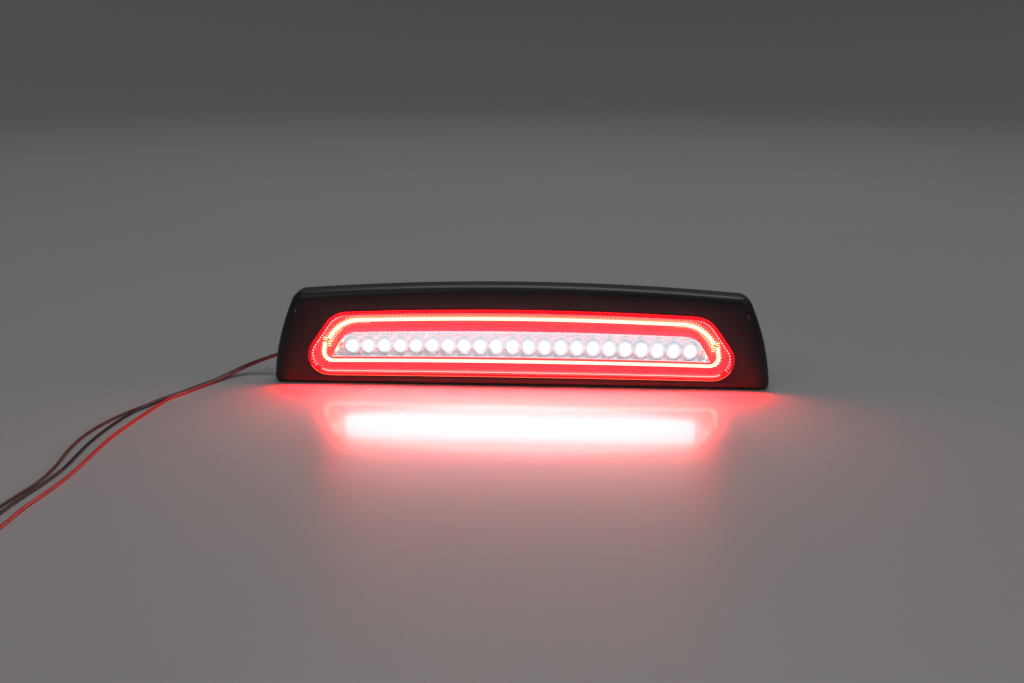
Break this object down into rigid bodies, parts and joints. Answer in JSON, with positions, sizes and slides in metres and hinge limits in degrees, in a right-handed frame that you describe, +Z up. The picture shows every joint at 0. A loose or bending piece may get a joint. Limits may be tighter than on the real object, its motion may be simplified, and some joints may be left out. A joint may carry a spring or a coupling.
{
  "type": "third brake light",
  "caption": "Centre high-mount stop lamp: black housing, red lens with a halo light guide, white LED cargo window and loose leads.",
  "frame": {"origin": "middle of the bottom of the lamp, without its free leads and connector", "axes": "+X to the viewer's right along the lamp, -Y out of the lens, +Z up"},
  "size_m": [0.4845, 0.419, 0.076],
  "materials": {
    "case": "fine moulded texture",
    "red_lens": "polished, transparent red",
    "clear_lens": "polished, clear",
    "light_guide": "polished, with fine teeth on the back",
    "reflector_satin": "metallised, with fine upright flutes",
    "reflector_bright": "metallised mirror",
    "board": "white solder mask",
    "white_led": "clear dome",
    "red_led": "clear",
    "chip": "moulded",
    "can": "drawn",
    "nylon": "natural",
    "steel": "zinc plated",
    "rubber": "moulded",
    "foam": "closed-cell foam",
    "vent": "membrane",
    "jacket_red": "smooth PVC",
    "jacket_black": "smooth PVC",
    "jacket_brown": "smooth PVC",
    "connector": "moulded nylon",
    "lock": "moulded",
    "silicone": "moulded silicone"
  },
  "bodies": {
    "lamp": {"breather_vent": "vent", "cable_grommet": "rubber", "cargo_led_01": "white_led", "cargo_led_02": "white_led", "cargo_led_03": "white_led", "cargo_led_04": "white_led", "cargo_led_05": "white_led", "cargo_led_06": "white_led", "cargo_led_07": "white_led", "cargo_led_08": "white_led", "cargo_led_09": "white_led", "cargo_led_10": "white_led", "cargo_led_11": "white_led", "cargo_led_12": "white_led", "cargo_led_13": "white_led", "cargo_led_14": "white_led", "cargo_led_15": "white_led", "cargo_led_16": "white_led", "cargo_led_17": "white_led", "cargo_led_18": "white_led", "cargo_led_19": "white_led", "cargo_led_20": "white_led", "cargo_led_21": "white_led", "cargo_led_22": "white_led", "cargo_reflector": "reflector_bright", "case_screw_1": "steel", "case_screw_2": "steel", "case_screw_3": "steel", "case_screw_4": "steel", "case_screw_5": "steel", "case_screw_6": "steel", "connector_body": "connector", "connector_seal": "silicone", "driver_chip": "chip", "filter_capacitor": "can", "fluted_reflector": "reflector_satin", "front_bezel": "case", "halo_guide_lower": "light_guide", "halo_guide_upper": "light_guide", "halo_led_lower_left": "red_led", "halo_led_lower_right": "red_led", "halo_led_upper_left": "red_led", "halo_led_upper_right": "red_led", "housing_seal": "rubber", "lead_header": "nylon", "led_board": "board", "lens_clear_window": "clear_lens", "lens_red": "red_lens", "lens_seal": "rubber", "mounting_gasket": "foam", "rear_housing": "case", "reverse_diode": "chip", "stud_left": "steel", "stud_nut_left": "steel", "stud_nut_right": "steel", "stud_right": "steel", "wire_black": "jacket_black", "wire_brown": "jacket_brown", "wire_red": "jacket_red"},
    "lock": {"connector_lock": "lock"}
  },
  "joints": [
    {"name": "lock_slide", "type": "slide", "parent": "lamp", "child": "lock", "axis": [1, 0, 0], "range_m": [0, 0.0025]}
  ]
}
